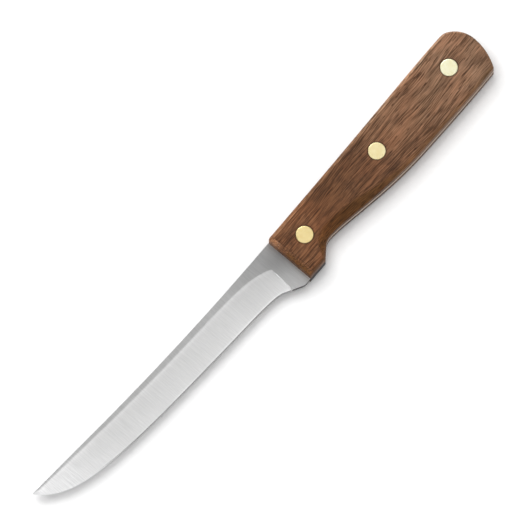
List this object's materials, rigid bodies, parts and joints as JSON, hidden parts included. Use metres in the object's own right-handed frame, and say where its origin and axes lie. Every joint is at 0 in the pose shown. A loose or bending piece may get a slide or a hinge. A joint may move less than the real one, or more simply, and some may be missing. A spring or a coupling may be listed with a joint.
{
  "type": "boning knife",
  "caption": "Narrow upswept boning knife with a full-tang steel blade and flat walnut handle scales held by flush brass rivets.",
  "frame": {"origin": "middle of the knife's bounding box in X and Y, on the surface that the right scale lies on", "axes": "+X along the rivet line from the tip to the butt, +Y from the cutting edge to the spine, +Z out of the left scale"},
  "size_m": [0.2778, 0.0322, 0.015],
  "materials": {
    "blade_steel": "ground and brushed stainless steel",
    "walnut": "oiled open-pored walnut, satin",
    "rivet_brass": "brass sanded flush with the wood"
  },
  "bodies": {
    "root": {"blade": "blade_steel", "left_scale": "walnut", "right_scale": "walnut", "front_rivet_post": "rivet_brass", "front_rivet_tube": "rivet_brass", "middle_rivet_post": "rivet_brass", "middle_rivet_tube": "rivet_brass", "rear_rivet_post": "rivet_brass", "rear_rivet_tube": "rivet_brass"}
  },
  "joints": []
}
